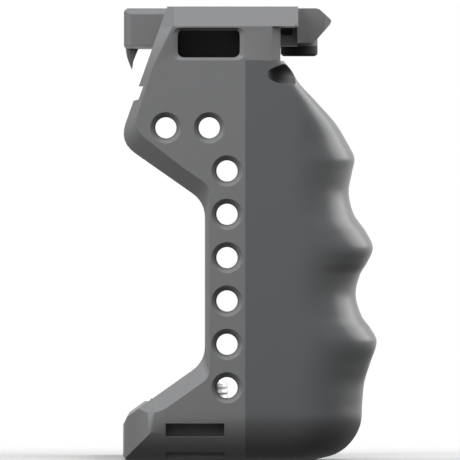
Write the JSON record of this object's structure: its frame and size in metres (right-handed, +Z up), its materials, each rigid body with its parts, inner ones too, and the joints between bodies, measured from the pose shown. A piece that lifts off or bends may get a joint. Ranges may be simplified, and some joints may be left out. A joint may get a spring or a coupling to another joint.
{
  "type": "camera cage",
  "caption": "Dark metal camera cage: two side plates, top plate with cold shoe, bottom plate with camera screw, and a moulded handgrip with finger grooves.",
  "frame": {"origin": "centre of the footprint (bounding box) on the bottom face", "axes": "+X across the cage from the handgrip side to the far side, +Y to the rear (away from the lens), +Z up"},
  "size_m": [0.133, 0.0556, 0.0995],
  "materials": {
    "frame_metal": "satin anodised, dark grey",
    "grip_shell": "satin, dark grey",
    "dark_metal": "matte, near black",
    "black_steel": "black oxide",
    "bright_steel": "brushed",
    "black_rubber": "matte"
  },
  "bodies": {
    "frame": {"grip_side_plate": "frame_metal", "far_side_plate": "frame_metal", "top_plate": "frame_metal", "bottom_plate": "frame_metal", "top_plate_screws": "black_steel", "bottom_plate_screws": "black_steel", "handgrip": "grip_shell", "grip_back_plate": "grip_shell", "back_plate_screws": "black_steel", "grip_pad": "black_rubber", "grip_side_screws": "black_steel", "grip_base_screws": "black_steel", "floor_pad": "black_rubber", "grip_side_pad": "black_rubber", "far_side_pad": "black_rubber", "deck_pads": "black_rubber", "cold_shoe": "bright_steel", "cold_shoe_screws": "black_steel", "cold_shoe_spring": "bright_steel"},
    "camera_screw": {"camera_screw": "bright_steel"},
    "camera_screw_ring": {"camera_screw_ring": "bright_steel"},
    "camera_screw_clip": {"camera_screw_clip": "bright_steel"},
    "clamp_screw": {"clamp_screw": "black_steel"},
    "clamp_foot": {"clamp_foot": "dark_metal", "clamp_pad": "black_rubber"}
  },
  "joints": [
    {"name": "camera_screw_drop", "type": "slide", "parent": "frame", "child": "camera_screw_clip", "axis": [0, 0, 1], "range_m": [-0.0047, 0]},
    {"name": "camera_screw_turn", "type": "hinge", "parent": "camera_screw_clip", "child": "camera_screw", "pos_m": [0, 0.00815, 0], "axis": [0, 0, 1], "continuous": true},
    {"name": "ring_fold", "type": "hinge", "parent": "camera_screw", "child": "camera_screw_ring", "pos_m": [0, 0.00815, 0.002], "axis": [0, 1, 0], "range_deg": [0, 180]},
    {"name": "clamp_travel", "type": "slide", "parent": "frame", "child": "clamp_foot", "axis": [0, 0, 1], "range_m": [-0.0012, 0.0006]},
    {"name": "clamp_screw_turn", "type": "hinge", "parent": "clamp_foot", "child": "clamp_screw", "pos_m": [0, -0.01095, 0], "axis": [0, 0, 1], "range_deg": [-618, 309]}
  ],
  "couplings": [
    {"joint": "clamp_screw_turn", "follows": "clamp_travel", "rad_per_m": 8976}
  ]
}
